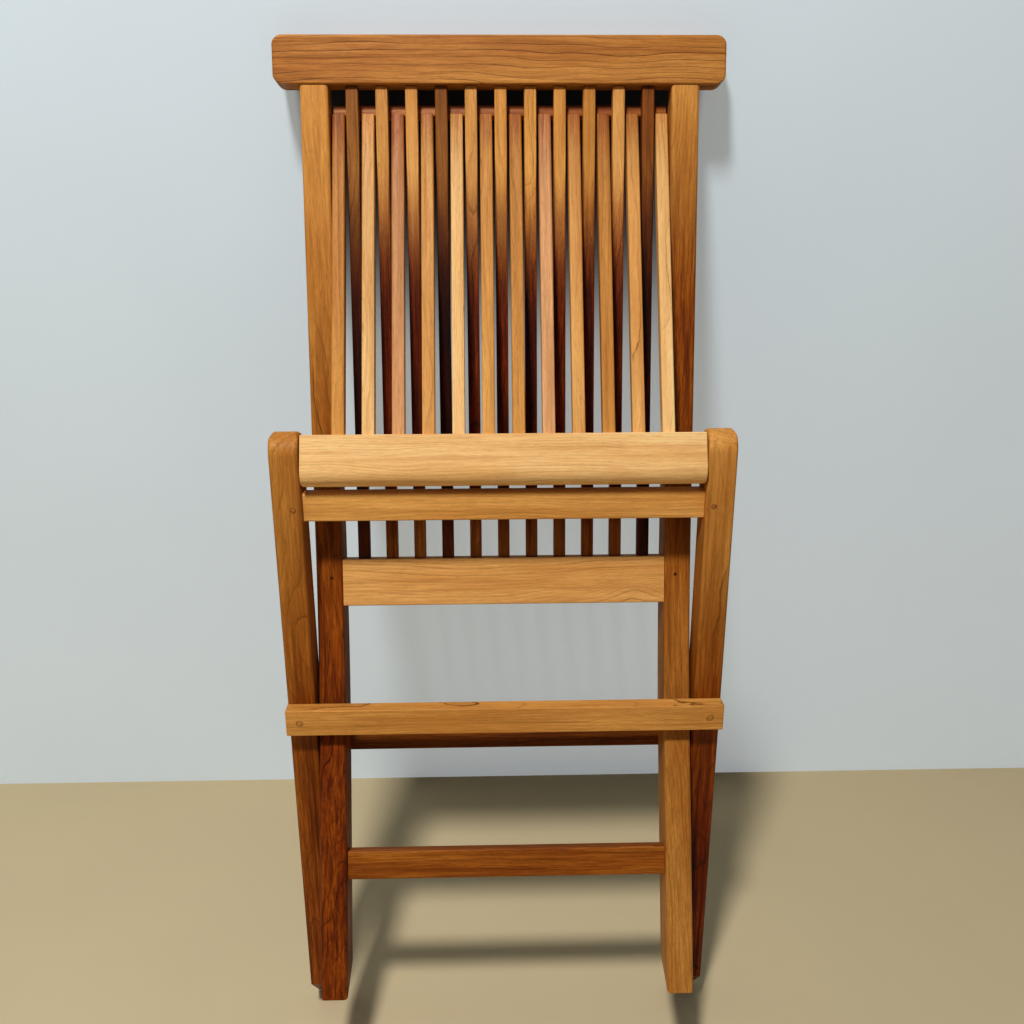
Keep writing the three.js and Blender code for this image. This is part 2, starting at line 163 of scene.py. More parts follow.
def in_stile_foot(x, along, deep):
    """The back frame's straight lower part, carried on upwards."""
    return with_x(x, straight_point(toe, leg_rake, along, deep))


def in_legs(x, along, deep):
    return with_x(x, straight_point(leg_origin, leg_frame_rake, along, deep))


def in_seat(x, along, deep):
    """The seat's depth counts down from the pivot line, so its top is at minus the height."""
    return with_x(x, straight_point(seat_pivot, seat_rake, along, deep))


print("seat leans", round(float(np.degrees(seat_rake)), 2), "degrees")
print("seat is", round(seat_length / mm, 1), "mm long")

# %% [markdown]
# ## The camera
#
# The picture was taken by hand from about a metre away, a little above the middle of
# the chair and looking down. A scene can be framed by eye, but a camera worked out from
# the chair's own straight edges puts every board where the picture has it. The lens is
# given as a focal length in pixels of a picture 1024 pixels wide.

# %% Set the camera
picture_wide = 1024
focal_pixels = 1008
sensor_wide = 36
camera_place = (-16.06 * mm, fold_pivot[0] - 944.53 * mm, 984.76 * mm)
camera_yaw, camera_pitch, camera_roll = np.radians([-1.432, -20.779, 0.053])

camera_data = bpy.data.cameras.new("camera")
camera_data.sensor_width = sensor_wide
camera_data.lens = sensor_wide * focal_pixels / picture_wide
camera = bpy.data.objects.new("camera", camera_data)
aim = Matrix.Rotation(camera_yaw, 4, "Z") @ Matrix.Rotation(camera_pitch, 4, "X")
aim = aim @ Matrix.Rotation(camera_roll, 4, "Y") @ Matrix.Rotation(pi / 2, 4, "X")
camera.matrix_world = Matrix.Translation(camera_place) @ aim
bpy.context.scene.collection.objects.link(camera)
bpy.context.scene.camera = camera
print("lens", round(camera_data.lens, 2), "mm")

# %% [markdown]
# ## One board, worked out as a surface
#
# A planed board is a rounded rectangle carried along a length, and its ends are eased
# in the same way. A Bevel modifier on a box would give the edges, but no bend, no taper
# and no sloping sole. So the board is a grid: one parameter runs along it, the other
# round its section. Each station has its own rectangle and its own corner radius.
# An end is eased twice, once in its width and once in its depth, each by its own
# quarter ellipse: a wide one rounds a corner seen from the front, a short one an edge.

# %% The section of a board
corner_signs = np.array([[-1, -1], [1, -1], [1, 1], [-1, 1]])
corner_starts = np.radians([180, 270, 0, 90])
corner_points = 6
least_radius = 0.2 * mm


def section_rings(low, high, radii, inset):
    """Rounded rectangles, one a station: each corner is a quarter circle whose centre
    lies one radius in from both sides, and its points are the centre plus the radius
    times (cosine, sine). The second result is 1 in the middle of a corner, 0 on a side."""
    share = np.linspace(0, 1, corner_points)
    turn = corner_starts[:, None] + share * pi / 2
    outward = np.stack([np.cos(turn), np.sin(turn)], axis=-1)
    low, high = low + inset, high - inset
    room = (high - low).min(axis=1, keepdims=True) / 2
    corner = np.where(corner_signs < 0, low[:, None], high[:, None])
    radius = np.minimum(np.maximum(radii - inset.min(axis=1, keepdims=True), least_radius), room)
    centre = corner - corner_signs * radius[..., None]
    rings = centre[:, :, None] + radius[..., None, None] * outward
    return rings.reshape(len(low), -1, 2), np.tile(np.sin(share * pi), len(corner_signs))


# %% The whole board
ease_points = 8
shade_steps = 14


def steps_between(low, high):
    """Evenly spaced stations, so that a colour can change along a straight board."""
    return np.linspace(low, high, shade_steps + 2)[1:-1]


def board_surface(run, low, high, radii, near, far, between=()):
    """A grid of (long, wide, deep) and the wear on it as (edge, end). An end's easing
    is a pair of (reach, inset), for the width and for the depth. At a distance from the
    end the section draws in by the inset times 1 - sqrt(1 - share squared), where the
    share is 1 at the end itself and 0 from the reach on."""
    turn = np.linspace(0, pi / 2, ease_points)
    near, far = np.broadcast_to(near, (2, 2)), np.broadcast_to(far, (2, 2))
    start = run[0] + near[:, 0].max() * (1 - np.cos(turn))
    finish = run[1] - far[:, 0].max() * (1 - np.cos(turn[::-1]))
    stations = np.concatenate([start, between, finish])
    first_half = stations[:, None, None] < np.mean(run)
    reach, inset = np.moveaxis(np.where(first_half, near, far), -1, 0)
    from_end = np.minimum(stations - run[0], run[1] - stations)[:, None]
    drawn = 1 - np.sqrt(1 - np.clip(1 - from_end / reach, 0, 1) ** 2)
    low, high, radii = (
        np.array([value(place) if callable(value) else value for place in stations], float)
        for value in (low, high, np.broadcast_to(radii, len(corner_signs)))
    )
    rings, edge = section_rings(low, high, radii, drawn * inset)
    long = np.broadcast_to(stations[:, None, None], rings.shape[:2] + (1,))
    wear = np.stack(np.broadcast_arrays(edge[None], drawn.min(axis=1, keepdims=True)), axis=-1)
    return np.concatenate([long, rings], axis=-1), wear


# %% From a grid to a mesh
def skin(rows, columns):
    """Faces of a tube: a quad between each two neighbouring points of two
    neighbouring rings, and one face over each end."""
    index = np.arange(rows * columns).reshape(rows, columns)
    beside = np.roll(index, -1, axis=1)
    quads = np.stack([index[:-1], beside[:-1], beside[1:], index[1:]], axis=-1)
    return quads.reshape(-1, 4).tolist() + [index[0, ::-1].tolist(), index[-1].tolist()]


def signed_volume(points, faces):
    """Six times the volume, from the triangles that fan out over each quad."""
    quads = points[np.array([face for face in faces if len(face) == 4])]
    first = np.einsum("ij,ij->i", quads[:, 0], np.cross(quads[:, 1], quads[:, 2]))
    second = np.einsum("ij,ij->i", quads[:, 0], np.cross(quads[:, 2], quads[:, 3]))
    return (first + second).sum()


def mesh_of(name, grid):
    """A closed mesh whose faces point outwards."""
    rows, columns = grid.shape[:2]
    faces = skin(rows, columns)
    points = grid.reshape(-1, 3)
    if signed_volume(points - points.mean(axis=0), faces) < 0:
        faces = [face[::-1] for face in faces]
    mesh = bpy.data.meshes.new(name)
    mesh.from_pydata(points.tolist(), [], faces)
    mesh.validate()
    return mesh


# %% [markdown]
# ## Where each board lay in its log
#
# Teak looks the way it does because a flat face cuts through growth rings. A pattern
# painted on the faces would break at every edge. A better way is to give every point
# its place in the log, in metres, and let the material work out which ring it is in.
# Then the lines on the front of a board turn round its edges into its sides, and its
# ends show the rings themselves. The place is kept as an attribute called grain, whose
# third part runs along the board, with the log's heart at zero.
#
# A second attribute, look, says how deep the colour is, how strong the ring lines are
# and how far apart the rings are. The depth may be a list from one end of the board to
# the other. The lists make the left stile and both legs darker towards their feet, and the
# right stile darker beside the folded seat. This is partly the wood's own tone and partly
# painted shade, where parts of the chair and the fall of the light leave them dark.

# %% Attributes for the wood
sharp_angle = radians(40)
log_random = np.random.default_rng(21)


def set_attribute(mesh, name, kind, values):
    """One value for each vertex, written as a whole array."""
    attribute = mesh.attributes.get(name) or mesh.attributes.new(name, kind, "POINT")
    key = "vector" if kind == "FLOAT_VECTOR" else "value"
    attribute.data.foreach_set(key, np.ascontiguousarray(values, np.float32).ravel())


def points_of(mesh):
    points = np.empty(len(mesh.vertices) * 3, np.float32)
    mesh.vertices.foreach_get("co", points)
    return points.reshape(-1, 3).astype(float)


def log_places(points, long, deep, heart):
    """Each point's place in the log: its distance from the board's middle along the
    three directions of the board, less the place of the log's heart."""
    across = np.cross(long, deep)
    directions = np.stack([across, deep, long])
    middle = (points.min(axis=0) + points.max(axis=0)) / 2
    return (points - middle) @ directions.T - np.array(heart)


def heart_near(turn, far, along):
    """The log's heart, at an angle from straight behind the board and a distance."""
    return (far * sin(turn), far * cos(turn), along)


def unit(vector):
    return vector / np.linalg.norm(vector)


# %% The log and the look of each large board
heart_of = {
    "crest_rail": heart_near(0.1, 160 * mm, 400 * mm),
    "stile_left": heart_near(0.4, 100 * mm, 200 * mm),
    "stile_right": heart_near(-0.9, 120 * mm, 1100 * mm),
    "lower_back_rail": heart_near(0.3, 90 * mm, 2300 * mm),
    "front_stretcher": heart_near(0.9, 90 * mm, 700 * mm),
    "rear_brace": heart_near(0.7, 80 * mm, 1900 * mm),
    "leg_left": heart_near(0.6, 100 * mm, 3100 * mm),
    "leg_right": heart_near(-0.2, 80 * mm, 5300 * mm),
    "leg_top_rail": heart_near(1.1, 90 * mm, 200 * mm),
    "leg_front_rail": heart_near(0.5, 80 * mm, 2900 * mm),
    "seat_front_rail": heart_near(0.8, 110 * mm, 6100 * mm),
    "seat_rear_rail": heart_near(0.4, 80 * mm, 3700 * mm),
}
look_of = {
    "crest_rail": ((1.13, 1.03), 1.8, 6.2 * mm),
    # The stiles' and legs' depth lists hold painted shade as well as wood tone.
    "stile_left": ((1.78, 1.78, 1.76, 1.68, 1.5, 1.2, 0.93, 0.8, 0.73), 0.75, 4.4 * mm),
    "stile_right": ((0.92, 0.92, 0.97, 1.05, 1.2, 1.55, 1.55, 1.0, 0.76), 0.75, 3.6 * mm),
    "lower_back_rail": (0.68, 0.9, 4 * mm),
    "front_stretcher": (1.3, 0.8, 3 * mm),
    "rear_brace": (1.3, 0.6, 3.4 * mm),
    "leg_left": ((1.56, 1.54, 1.38, 1.1, 0.88), 0.6, 4.2 * mm),
    "leg_right": ((2.3, 2.18, 1.66, 1.0, 0.74), 0.6, 5 * mm),
    "leg_top_rail": (0.62, 0.8, 3.2 * mm),
    "leg_front_rail": (0.72, 1.0, 3.4 * mm),
    "seat_front_rail": (0.8, 0.5, 2.8 * mm),
    # The seat's rear rail is deeper than its tone: painted shade, for the crest's shadow over it.
    "seat_rear_rail": (1.42, 0.6, 3 * mm),
    "back_peg": (1.4, 0.8, 1.4 * mm),
    "leg_peg": (1.3, 0.6, 1.2 * mm),
    "rail_plug": (1.0, 0.8, 1.4 * mm),
}


def wood_of(node):
    return heart_of[node], look_of[node]


print("logs chosen for", len(heart_of), "boards")

# %% Finishing a piece
materials = {}
slots = {piece["node"]: piece["material_slot"] for piece in frame["record"]["subparts"]}
bodies = frame["record"]["behaviour"]["bodies"]
body_of = {node: body for body, nodes in bodies.items() for node in nodes}
made = []


def finish_piece(obj, node):
    """Smooths the rounded edges, keeps the flat faces flat, and gives the piece its
    finish, its body and the CAD node it stands for."""
    obj.data.shade_smooth()
    obj.data.set_sharp_from_angle(angle=sharp_angle)
    obj.modifiers.new("flat faces", "WEIGHTED_NORMAL").keep_sharp = True
    obj.data.materials.clear()
    obj.data.materials.append(materials[slots[node]])
    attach(obj, body_of[node])
    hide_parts(node)
    made.append((obj, node))
    return obj


# %% [markdown]
# ## Teak
#
# Oiled teak is golden brown, with growth rings a few millimetres apart that end in a
# fine dark line, long darker streaks, short open pores, and a satin rather than glossy
# skin. An image of wood would repeat and would stop at the edges. Nodes can build it
# from the grain attribute instead: the distance from the log's heart, bent by slow
# noise, divided by the ring spacing, tells which ring a point is in and how far
# through it. The same recipe makes all six tones, which differ in colour only. Three
# of them are made once more, for the back slats, with painted shade: their colour
# also deepens where another board stands close in front.

# %% A short way to write nodes
class Recipe:
    """Adds nodes to one material. A value that is a socket is linked, any other is set."""

    def __init__(self, name):
        self.material = bpy.data.materials.new(name)
        self.material.use_nodes = True
        self.tree = self.material.node_tree
        self.shader = self.tree.nodes["Principled BSDF"]

    def put(self, socket, value):
        if isinstance(value, bpy.types.NodeSocket):
            self.tree.links.new(value, socket)
        else:
            socket.default_value = value

    def add(self, kind, values=(), **settings):
        made_node = self.tree.nodes.new(kind)
        for name, value in settings.items():
            setattr(made_node, name, value)
        for place, value in dict(values).items():
            self.put(made_node.inputs[place], value)
        return made_node

    def math(self, operation, *values):
        return self.add("ShaderNodeMath", enumerate(values), operation=operation).outputs[0]

    def vector(self, operation, *values):
        made_node = self.add("ShaderNodeVectorMath", enumerate(values), operation=operation)
        return made_node.outputs["Value" if operation == "LENGTH" else "Vector"]

    def attribute(self, name):
        return self.add("ShaderNodeAttribute", attribute_name=name)

    def parts(self, vector):
        return self.add("ShaderNodeSeparateXYZ", {0: vector}).outputs

    def noise(self, place, per_metre, detail=2.0, rough=0.5):
        """Noise whose spots are 1/per_metre long in each direction."""
        stretched = self.vector("MULTIPLY", place, per_metre)
        values = {"Vector": stretched, "Scale": 1.0, "Detail": detail, "Roughness": rough}
        return self.add("ShaderNodeTexNoise", values).outputs

    def ramp(self, value, low, high, to_low=0.0, to_high=1.0):
        """A smooth step from one value to another."""
        values = {"Value": value, "From Min": low, "From Max": high, "To Min": to_low, "To Max": to_high}
        return self.add("ShaderNodeMapRange", values, interpolation_type="SMOOTHSTEP").outputs[0]

    def blend(self, share, first, second, way="MIX"):
        values = {0: share, 6: first, 7: second}
        return self.add("ShaderNodeMix", values, data_type="RGBA", blend_type=way).outputs[2]

    def finish(self, color, roughness, height=None, distance=0.0, strength=1.0):
        self.put(self.shader.inputs["Base Color"], color)
        self.put(self.shader.inputs["Roughness"], roughness)
        if height is not None:
            values = {"Height": height, "Distance": distance, "Strength": strength}
            self.put(self.shader.inputs["Normal"], self.add("ShaderNodeBump", values).outputs[0])
        return self.material


def linear(red, green, blue):
    """A colour as a screen shows it, from 0 to 255, turned into light."""
    share = np.array([red, green, blue]) / 255
    light = np.where(share <= 0.04045, share / 12.92, ((share + 0.055) / 1.055) ** 2.4)
    return (*light.tolist(), 1.0)


def darker(color, share):
    return (*(share * np.array(color[:3])).tolist(), 1.0)


# %% Growth rings
# How many spots a noise has in a metre: across the board, through it and along it.
figure_spots = (11, 11, 3.4)
ragged_spots = (90, 90, 30)
fading_spots = (35, 35, 9)
figure_bend = 50 * mm
ragged_bend = 2.2 * mm
knot_reach = 26 * mm
knot_swell = 14 * mm


def ring_lines(recipe, place, lines, spacing):
    """How dark the growth ring is at a point, from 0 to 1 or more. The distance from
    the heart is bent by slow noise for the figure and by finer noise for the ragged
    outline, and swells round a knot. A ring ends in a thin line with a soft shade on
    its inner side. Most lines are faint, and each fades in and out along the board."""
    slow = recipe.vector("SUBTRACT", recipe.noise(place, figure_spots, 2.0)[1], (0.5, 0.5, 0.5))
    bent = recipe.vector("ADD", place, recipe.vector("MULTIPLY", slow, (figure_bend, figure_bend, 0)))
    x, y, _ = recipe.parts(bent)
    far = recipe.vector("LENGTH", recipe.add("ShaderNodeCombineXYZ", {0: x, 1: y}).outputs[0])
    ragged = recipe.math("MULTIPLY", recipe.noise(place, ragged_spots, 4.0, 0.6)[0], ragged_bend)
    from_knot = recipe.vector("SUBTRACT", place, recipe.attribute("knot").outputs["Vector"])
    reach = recipe.vector("LENGTH", recipe.vector("MULTIPLY", from_knot, (1, 1, 0.5)))
    swell = recipe.ramp(reach, 0.0, knot_reach, knot_swell, 0.0)
    far = recipe.math("ADD", recipe.math("ADD", far, ragged), swell)
    ring = recipe.math("DIVIDE", far, spacing)
    part = recipe.math("FRACT", ring)
    falling = recipe.ramp(part, 0.965, 1.0, 1.0, 0.0)
    rising = recipe.ramp(part, 0.87, 0.96)
    thin = recipe.math("MULTIPLY", rising, recipe.math("MULTIPLY", falling, lines))
    soft = recipe.math("MULTIPLY", recipe.ramp(part, 0.2, 0.97, 0.0, 0.22), falling)
    line = recipe.math("ADD", thin, soft)
    number = {"W": recipe.math("FLOOR", ring)}
    chance = recipe.add("ShaderNodeTexWhiteNoise", number, noise_dimensions="1D").outputs[0]
    strength = recipe.ramp(chance, 0.1, 0.9, 0.4, 1.0)
    fading = recipe.ramp(recipe.noise(place, fading_spots, 2.0)[0], 0.38, 0.58, 0.35, 1.0)
    return recipe.math("MULTIPLY", line, recipe.math("MULTIPLY", strength, fading))


# %% Painted shade on front faces behind another board
painted_shade_reach = 120 * mm
painted_shade_strength = 1.7
painted_shade_samples = 6


def painted_shade_depth(recipe, depth):
    """Painted shade: deeper on front faces that something stands close in front of, by how
    open their view is. It clears again when that moves away, as the folded seat does."""
    facing = recipe.parts(recipe.add("ShaderNodeNewGeometry").outputs["Normal"])[1]
    values = {"Distance": painted_shade_reach}
    open_view = recipe.add("ShaderNodeAmbientOcclusion", values, samples=painted_shade_samples)
    added = recipe.ramp(open_view.outputs["AO"], 0.3, 0.75, painted_shade_strength, 0.0)
    on_front = recipe.ramp(facing, -0.7, -0.3, 1.0, 0.0)
    return recipe.math("ADD", depth, recipe.math("MULTIPLY", added, on_front))


# %% The teak recipe
broad_spots = (42, 42, 5)
streak_spots = (230, 230, 6)
fleck_spots = (520, 520, 26)
fibre_spots = (1100, 1100, 90)
pore_spots = (1500, 1500, 110)
pore_depth = 0.2 * mm
brightest = 0.94
oiled_gloss = 0.12


def teak_color(recipe, depth, color):
    """The colour to the power of the depth, and brighter where the depth is below one."""
    power = recipe.math("MAXIMUM", depth, recipe.math("MULTIPLY_ADD", depth, 0.6, 0.4))
    gain = recipe.math("MAXIMUM", 1.0, recipe.math("MULTIPLY_ADD", depth, -1.2, 2.2))
    color = recipe.add("ShaderNodeGamma", {0: color, 1: power}).outputs[0]
    return recipe.vector("MINIMUM", recipe.vector("MULTIPLY", color, gain), (brightest,) * 3)


def teak(name, pale, mid, deep, with_painted_shade=False):
    """Rings, streaks, fibres and pores over a base that drifts between two colours.
    Raising a colour to a power above one makes it both darker and richer, as oil and
    age do, so that is how one board is made deeper than the next. A depth below one
    lowers the power less and adds a gain, so that a pale board stays warm."""
    recipe = Recipe(name)
    place = recipe.attribute("grain").outputs["Vector"]
    depth, lines, spacing = recipe.parts(recipe.attribute("look").outputs["Vector"])
    edge, end, rim = recipe.parts(recipe.attribute("wear").outputs["Vector"])
    # Painted shade for the back slats: the colour deepens where another board stands close in front.
    if with_painted_shade:
        depth = painted_shade_depth(recipe, depth)

    rings = ring_lines(recipe, place, lines, spacing)
    broad = recipe.noise(place, broad_spots, 3.0, 0.55)[0]
    streaks = recipe.noise(place, streak_spots, 4.0, 0.62)[0]
    flecks = recipe.noise(place, fleck_spots, 3.0, 0.65)[0]
    fibres = recipe.noise(place, fibre_spots, 2.0, 0.6)[0]
    pores = recipe.ramp(recipe.noise(place, pore_spots, 2.0, 0.6)[0], 0.6, 0.72)

    lively = recipe.ramp(depth, 0.8, 1.5, 0.45, 0.85)
    color = recipe.blend(recipe.ramp(broad, 0.3, 0.7), mid, pale)
    for share in (recipe.ramp(streaks, 0.42, 0.72), recipe.ramp(flecks, 0.35, 0.7, 0.0, 0.65)):
        color = recipe.blend(recipe.math("MULTIPLY", share, lively), color, deep)
    color = recipe.blend(recipe.ramp(fibres, 0.35, 0.75, 0.0, 0.3), color, deep)
    color = recipe.blend(recipe.math("MULTIPLY", rings, 0.95), color, darker(deep, 0.42))
    color = recipe.blend(recipe.math("MULTIPLY", pores, 0.35), color, darker(deep, 0.5))
    worn = recipe.math("MULTIPLY", edge, recipe.ramp(broad, 0.35, 0.65, 0.05, 0.25))
    color = recipe.blend(worn, color, pale)
    color = recipe.blend(recipe.math("MULTIPLY", end, 0.3), color, darker(deep, 0.9))
    color = recipe.blend(rim, color, darker(deep, 0.1))
    color = teak_color(recipe, depth, color)

    skin_rough = recipe.ramp(streaks, 0.3, 0.7, 0.4, 0.56)
    roughness = recipe.math("ADD", skin_rough, recipe.math("MULTIPLY", end, 0.15))
    height = recipe.math("MULTIPLY", fibres, 0.5)
    for hollow, share in ((pores, 0.6), (rings, 0.35)):
        height = recipe.math("SUBTRACT", height, recipe.math("MULTIPLY", hollow, share))
    recipe.shader.inputs["Specular IOR Level"].default_value = oiled_gloss
    return recipe.finish(color, roughness, height, pore_depth, 0.5)


tones = {
    "pale": ((240, 192, 124), (220, 166, 96), (176, 112, 52)),
    "honey": ((212, 150, 76), (190, 124, 56), (138, 78, 24)),
    "golden": ((204, 138, 60), (180, 112, 42), (124, 66, 14)),
    "pink": ((220, 158, 104), (196, 132, 80), (142, 86, 42)),
    "brown": ((170, 108, 46), (148, 88, 34), (98, 52, 14)),
    "dark": ((132, 78, 32), (108, 60, 22), (66, 34, 8)),
}
for tone, colors in tones.items():
    materials[tone] = teak(f"teak_{tone}", *[linear(*color) for color in colors])
# Copies for the back slats, with painted shade in their colour.
painted_shade_teak = {
    tone: teak(f"teak_{tone}_recessed", *[linear(*color) for color in tones[tone]], with_painted_shade=True)
    for tone in ("honey", "golden", "brown")
}
print("teak in", len(tones), "tones, and", len(painted_shade_teak), "of them for the back slats")

# %% [markdown]
# ## Brass and steel
#
# The bolt heads are turned brass that has been handled and has gone a little dull, and
# the washers behind the legs are pressed steel. Fine rings from the lathe show as
# roughness rather than colour, so each metal gets two noises: one for the tarnish and
# one for the tool marks.

# %% The metals
blotch_spots = (160, 160, 160)
tool_spots = (600, 4500, 4500)
tool_depth = 0.02 * mm


def metal(name, bright, dull, smooth, rough):
    """Blotches of tarnish, and tool marks in both roughness and bump."""
    recipe = Recipe(name)
    place = recipe.add("ShaderNodeTexCoord").outputs["Object"]
    blotches = recipe.noise(place, blotch_spots, 4.0, 0.6)[0]
    marks = recipe.noise(place, tool_spots, 2.0, 0.5)[0]
    share = recipe.ramp(blotches, 0.4, 0.7)
    color = recipe.blend(share, bright, dull)
    tarnish = recipe.ramp(share, 0.0, 1.0, smooth, rough)
    roughness = recipe.math("ADD", tarnish, recipe.math("MULTIPLY", marks, 0.12))
    recipe.shader.inputs["Metallic"].default_value = 1.0
    return recipe.finish(color, roughness, marks, tool_depth, 0.5)


materials["brass"] = metal("brass", linear(202, 168, 100), linear(140, 104, 52), 0.24, 0.45)
materials["steel"] = metal("steel", linear(176, 177, 178), linear(132, 130, 126), 0.26, 0.42)

# %% [markdown]
# ## Round pieces
#
# Pegs, plugs and bolts are turned, so they come from one function: a profile of radius
# and distance carried round an axis. The heads of the bolts have a six-sided socket,
# which is the same turning with a radius that changes with the angle.

# %% A turned surface
turned_sides = 48
skew_way = (0.31, 0.74, 0.59)


def turned_surface(profile, centre, axis, socket=None):
    """Rings round an axis: each point is the centre, plus its distance along the axis,
    plus its radius times (cosine, sine). Inside a hexagon of half width w the radius
    at an angle is w over the cosine of the angle from the middle of its side."""
    axis = unit(np.array(axis, float))
    across = unit(np.cross(axis, skew_way))
    other = np.cross(axis, across)
    turn = np.arange(turned_sides) * 2 * pi / turned_sides
    radius = np.repeat(np.array(profile)[:, :1], turned_sides, axis=1)
    if socket is not None:
        rows, half_wide = socket
        side_turn = (turn + pi / 6) % (pi / 3) - pi / 6
        radius[rows] *= half_wide / np.cos(side_turn) / radius[rows].max(axis=1, keepdims=True)
    out = np.array(profile)[:, 1, None, None] * axis
    round_it = np.cos(turn)[:, None] * across + np.sin(turn)[:, None] * other
    return np.array(centre) + out + radius[..., None] * round_it


# %% Bores
def rod(start, end, radius):
    """A plain rod as an object, used only as a drill."""
    start, end = np.array(start), np.array(end)
    length = np.linalg.norm(end - start)
    grid = turned_surface([(radius, 0), (radius, length)], start, end - start)
    drill = bpy.data.objects.new("drill", mesh_of("drill", grid))
    bpy.context.scene.collection.objects.link(drill)
    return drill


def drill_out(obj, rods):
    """Cuts each rod out of the board, keeps the result and clears the rods away."""
    for drill in rods:
        cut = obj.modifiers.new("bore", "BOOLEAN")
        cut.operation, cut.solver, cut.object = "DIFFERENCE", "EXACT", drill
    evaluated = obj.evaluated_get(bpy.context.evaluated_depsgraph_get())
    bored = bpy.data.meshes.new_from_object(evaluated)
    obj.modifiers.clear()
    obj.data = bored
    for drill in rods:
        bpy.data.objects.remove(drill)


# %% A board as a piece
no_knot = (9.0, 9.0, 9.0)


def give_places(obj, places, look, knot, wear):
    """Writes the grain, look and knot attributes, and the wear if it is not there yet.
    The first part of a look may be a list, for even steps from one end to the other."""
    depth, lines, spacing = look
    share = (places[:, 2] - places[:, 2].min()) / np.ptp(places[:, 2])
    depth = np.atleast_1d(depth)
    depths = np.interp(share, np.linspace(0, 1, len(depth)), depth)
    looks = np.stack(np.broadcast_arrays(depths, lines, spacing), axis=-1)
    set_attribute(obj.data, "grain", "FLOAT_VECTOR", places)
    set_attribute(obj.data, "look", "FLOAT_VECTOR", looks)
    set_attribute(obj.data, "knot", "FLOAT_VECTOR", np.broadcast_to(knot, places.shape))
    if wear is not None:
        set_attribute(obj.data, "wear", "FLOAT_VECTOR", wear)


def add_board(node, place, surface, upright, heart, look, rods=(), knot=None):
    """Sets a board's grid into its frame, drills it and gives it its attributes."""
    grid, wear = surface
    long, wide, deep = np.moveaxis(grid, -1, 0)
    placed = place(wide, long, deep) if upright else place(long, wide, deep)
    mesh = mesh_of(node + "_teak", placed)
    set_attribute(mesh, "wear", "FLOAT_VECTOR", np.concatenate([wear, 0 * wear[..., :1]], axis=-1))
    obj = bpy.data.objects.new(node + "_teak", mesh)
    bpy.context.scene.collection.objects.link(obj)
    if rods:
        drill_out(obj, rods)
    direction = unit(placed[-1].mean(axis=0) - placed[0].mean(axis=0))
    flat = placed.reshape(-1, 3)
    behind = flat[np.argmax(deep)] - flat[np.argmin(deep)]
    behind = behind - behind @ direction * direction
    behind[0] = 0
    places = log_places(points_of(obj.data), direction, unit(behind), heart)
    knot_place = no_knot if knot is None else np.array(knot) - heart
    give_places(obj, places, look, knot_place, None)
    return finish_piece(obj, node)


# %% [markdown]
# ## The crest rail
#
# The crest is the widest board, longer than the frame, with rounded corners that were
# shaped by hand. It is flat sawn, so its face shows wide, wandering lines instead of
# straight ones: the heart of the log lies straight behind it.

# %% A rail across the chair
rail_edge = 1.8 * mm
rail_end = 0.4 * mm


def add_rail(node, place, half, up, back, radii=rail_edge, end=rail_end, rods=(), knot=None):
    """A board from minus to plus its half length. Up the frame it has a foot and a
    height, and back from the frame's face it has a front and a thickness."""
    (foot, height), (front, thick) = up, back
    low, high = (foot, front), (foot + height, front + thick)
    surface = board_surface((-half, half), low, high, radii, end, end)
    return add_board(node, place, surface, False, *wood_of(node), rods, knot)


# %% Crest rail
crest_length = 449 * mm
crest_height = 46.5 * mm
crest_thick = 26 * mm
crest_proud = 2 * mm
crest_corner = 10 * mm
crest_edge = 2.8 * mm
crest_under = 1.6 * mm
crest_edges = (crest_under, crest_edge, crest_edge, crest_under)
crest_end = ((crest_corner, crest_corner), (crest_edge, crest_edge))

add_rail("crest_rail", in_back, crest_length / 2, (stile_length, crest_height),
         (-crest_proud, crest_thick), crest_edges, crest_end)
print("crest rail", round(crest_length / mm), "mm long")

# %% [markdown]
# ## The stiles
#
# Each stile is one piece from the crest down to the front foot, sawn to its bend from a
# wide plank, so the grain runs straight through it and out at the bend. It tapers
# towards the top, and its sole slopes so that it stands flat when the chair is open.

# %% Stiles
stile_depth = 46 * mm
stile_top_depth = 25 * mm
stile_taper_start = 300 * mm
stile_edge = 3.5 * mm
sole_edge = 1.5 * mm
sole_fade = 60 * mm
bend_steps = 16
bends = lower_length + bend_length * np.linspace(0, 1, bend_steps + 1)

leg_depth = 40 * mm
rear_toe_drop = (fold_pivot[1] - (leg_depth - leg_pivot_depth) * sin(leg_frame_rake)) / cos(leg_frame_rake)
rear_toe = straight_point(leg_origin, leg_frame_rake, -rear_toe_drop, leg_depth)
turned_open = np.array([[cos(open_angle), -sin(open_angle)], [sin(open_angle), cos(open_angle)]])
open_floor = unit(turned_open @ (rear_toe - fold_pivot) + fold_pivot - toe)


def slope_on(rake, floor):
    """How much further along a board the floor is for each step behind its front."""
    return floor @ along_of(rake) / (floor @ back_of(rake))


def slant(surface, slope):
    """Slides the points near the low end along the board, in proportion to depth."""
    grid, wear = surface
    share = np.clip(1 - (grid[..., 0] - grid[0, 0, 0]) / sole_fade, 0, 1)
    grid = grid.copy()
    grid[..., 0] += slope * grid[..., 2] * share
    return grid, wear


def stile_depth_at(along):
    share = np.clip((along - stile_taper_start) / (stile_length - stile_taper_start), 0, 1)
    return stile_depth + share * (stile_top_depth - stile_depth)


def stile(side):
    """The section's outer and inner faces stay put, and its back comes forward."""
    low_x, high_x = sorted((side * stile_inner, side * stile_outer))
    surface = board_surface(
        (0, stile_length - glue_gap),
        (low_x, 0),
        lambda along: (high_x, stile_depth_at(along)),
        stile_edge, sole_edge, glue_gap,
        [sole_fade, 2 * sole_fade, *bends, *steps_between(bends[-1], stile_length)],
    )
    return slant(surface, slope_on(leg_rake, open_floor))


# %% [markdown]
# A round dowel pins each end of the lower back rail, and the fold bolt runs into the
# stile from the outside. Both need their holes, so the stile is drilled.

